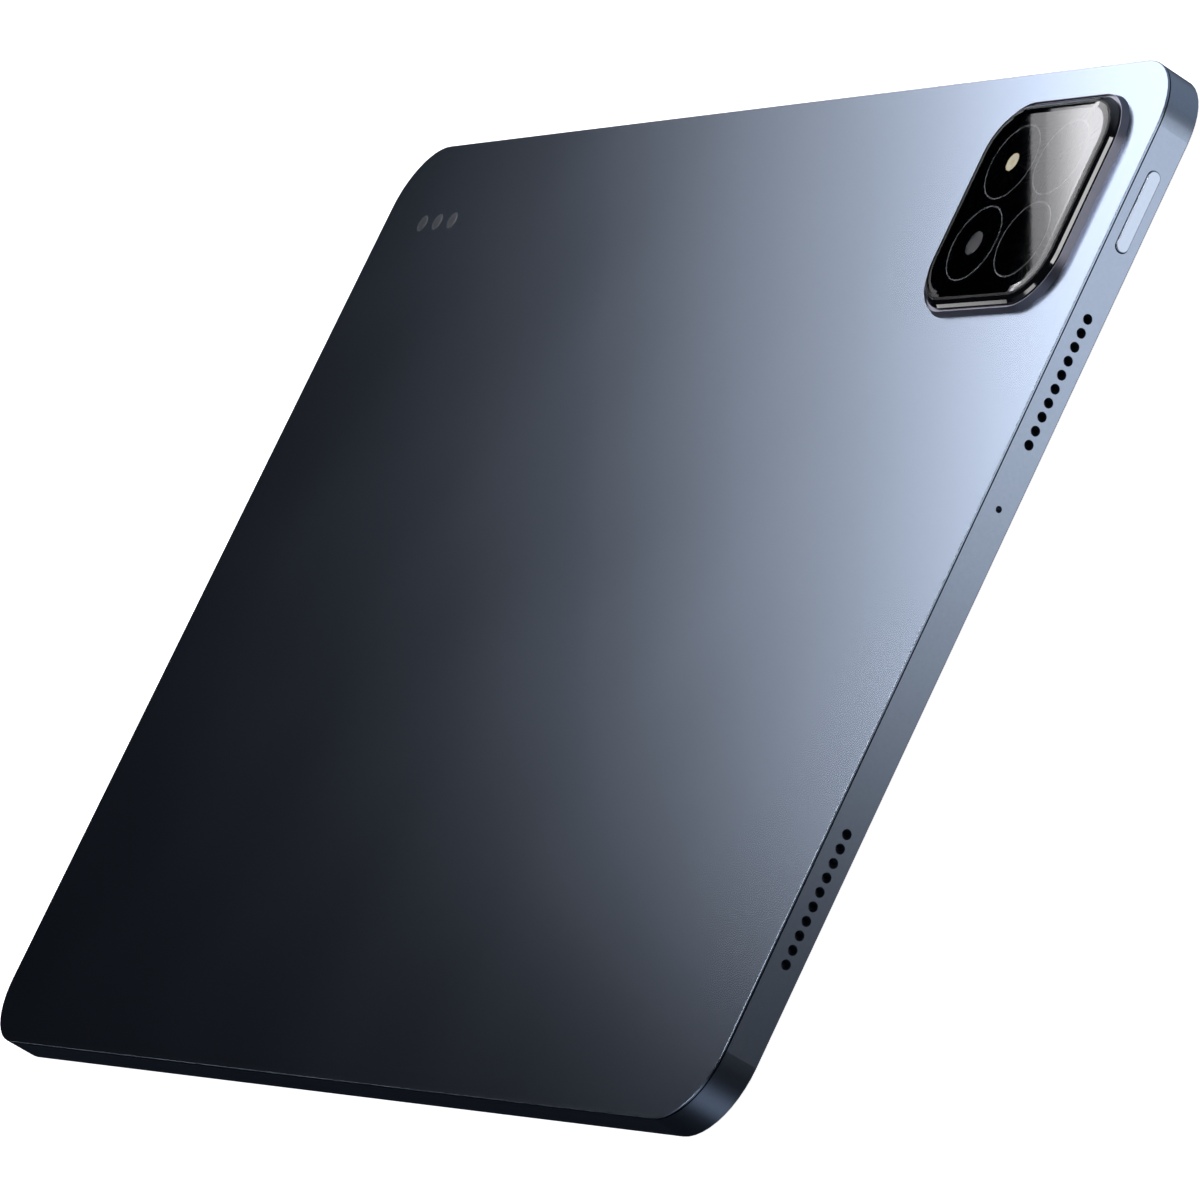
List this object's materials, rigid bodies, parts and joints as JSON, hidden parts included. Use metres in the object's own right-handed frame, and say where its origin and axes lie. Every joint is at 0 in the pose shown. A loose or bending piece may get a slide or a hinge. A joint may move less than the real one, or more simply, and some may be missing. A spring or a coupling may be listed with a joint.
{
  "type": "tablet computer",
  "caption": "Slim tablet computer lying on its screen: flat metal side wall, separate rear cover, raised rounded-square camera island, side keys and charging port.",
  "frame": {"origin": "centre of the cover glass's outer face, which the tablet rests on", "axes": "+Z out of the back; +X along the long side, towards the wall with the power key; +Y along the short side, towards the wall beside the camera island"},
  "size_m": [0.2515, 0.1737, 0.0084],
  "materials": {
    "frame_metal": "fine bead-blasted and anodised, blue-grey",
    "cover_metal": "satin anodised, blue-grey",
    "key_metal": "satin anodised, a little lighter than the frame",
    "bezel_metal": "satin anodised, dark grey",
    "trim_black": "gloss black",
    "camera_glass": "polished, bevelled rim",
    "cover_glass": "polished",
    "black_print": "black print",
    "black_plastic": "moulded, fine texture",
    "grey_plastic": "moulded",
    "ring_metal": "vapour-deposited silver, satin",
    "lens_glass": "coated lens",
    "flash_plastic": "clear moulded lens with a warm phosphor behind",
    "screen_cell": "unlit screen",
    "white_tray": "light guide and films in a thin tray",
    "steel": "stamped and bright",
    "contact_metal": "plated contact, dull",
    "magnet": "nickel-plated magnet",
    "plate_metal": "stamped sheet",
    "battery_foil": "pouch foil with a dark wrap",
    "tape": "adhesive film",
    "flex_film": "polyimide film over copper",
    "board": "solder mask on glass-fibre board",
    "chip": "moulded package",
    "graphite": "graphite film",
    "cone_film": "diaphragm film",
    "surround_rubber": "soft silicone",
    "mesh_steel": "blackened woven mesh"
  },
  "bodies": {
    "tablet": {"antennas": "grey_plastic", "backlight_unit": "white_tray", "battery_boards": "board", "battery_left": "battery_foil", "battery_right": "battery_foil", "battery_tapes": "tape", "bezel_print": "black_print", "board_chips": "chip", "camera_bezel": "bezel_metal", "camera_mask": "black_print", "camera_rings": "ring_metal", "camera_trim": "trim_black", "camera_window": "camera_glass", "charge_board": "board", "contact_block": "grey_plastic", "cover_glass": "cover_glass", "cover_tape": "tape", "display_flex": "flex_film", "display_tape": "tape", "flash_led": "chip", "flash_lens": "flash_plastic", "front_camera": "black_plastic", "glass_surround": "black_plastic", "graphite_sheet": "graphite", "holding_magnets": "magnet", "keyboard_contacts": "contact_metal", "lcd_cell": "screen_cell", "light_sensor": "chip", "link_flex": "flex_film", "main_board": "board", "microphones": "steel", "mid_plate": "plate_metal", "port_shell": "steel", "port_tongue": "black_plastic", "power_bracket": "steel", "power_dome": "steel", "power_switch": "black_plastic", "rear_camera_housing": "black_plastic", "rear_cover": "cover_metal", "screws": "steel", "shield_cans": "steel", "side_frame": "frame_metal", "speaker_box_left_lower": "black_plastic", "speaker_box_left_upper": "black_plastic", "speaker_box_right_lower": "black_plastic", "speaker_box_right_upper": "black_plastic", "speaker_magnets": "magnet", "speaker_meshes": "mesh_steel", "speaker_surrounds": "surround_rubber", "volume_bracket": "steel", "volume_domes": "steel", "volume_switches": "black_plastic"},
    "power_key": {"power_button": "key_metal"},
    "volume_key": {"volume_rocker": "key_metal"},
    "lens_carriage": {"rear_camera_barrel": "black_plastic", "rear_camera_lens": "lens_glass"},
    "cone_right_upper": {"speaker_cone_right_upper": "cone_film"},
    "cone_right_lower": {"speaker_cone_right_lower": "cone_film"},
    "cone_left_upper": {"speaker_cone_left_upper": "cone_film"},
    "cone_left_lower": {"speaker_cone_left_lower": "cone_film"}
  },
  "joints": [
    {"name": "power_press", "type": "slide", "parent": "tablet", "child": "power_key", "axis": [-1, 0, 0], "range_m": [0, 0.00025], "stiffness_N_per_m": 4000, "deforming": ["power_dome"]},
    {"name": "volume_tilt", "type": "hinge", "parent": "tablet", "child": "volume_key", "pos_m": [0.07761, 0.08467, 0.00298], "axis": [0, 0, 1], "range_deg": [-1.3, 1.3], "stiffness_Nm_per_rad": 0.37, "deforming": ["volume_domes"]},
    {"name": "lens_focus", "type": "slide", "parent": "tablet", "child": "lens_carriage", "axis": [0, 0, 1], "range_m": [0, 0.00025], "stiffness_N_per_m": 60},
    {"name": "cone_right_upper_travel", "type": "slide", "parent": "tablet", "child": "cone_right_upper", "axis": [0, 0, 1], "range_m": [-0.0003, 0.0003], "stiffness_N_per_m": 600},
    {"name": "cone_right_lower_travel", "type": "slide", "parent": "tablet", "child": "cone_right_lower", "axis": [0, 0, 1], "range_m": [-0.0003, 0.0003], "stiffness_N_per_m": 600},
    {"name": "cone_left_upper_travel", "type": "slide", "parent": "tablet", "child": "cone_left_upper", "axis": [0, 0, 1], "range_m": [-0.0003, 0.0003], "stiffness_N_per_m": 600},
    {"name": "cone_left_lower_travel", "type": "slide", "parent": "tablet", "child": "cone_left_lower", "axis": [0, 0, 1], "range_m": [-0.0003, 0.0003], "stiffness_N_per_m": 600}
  ]
}
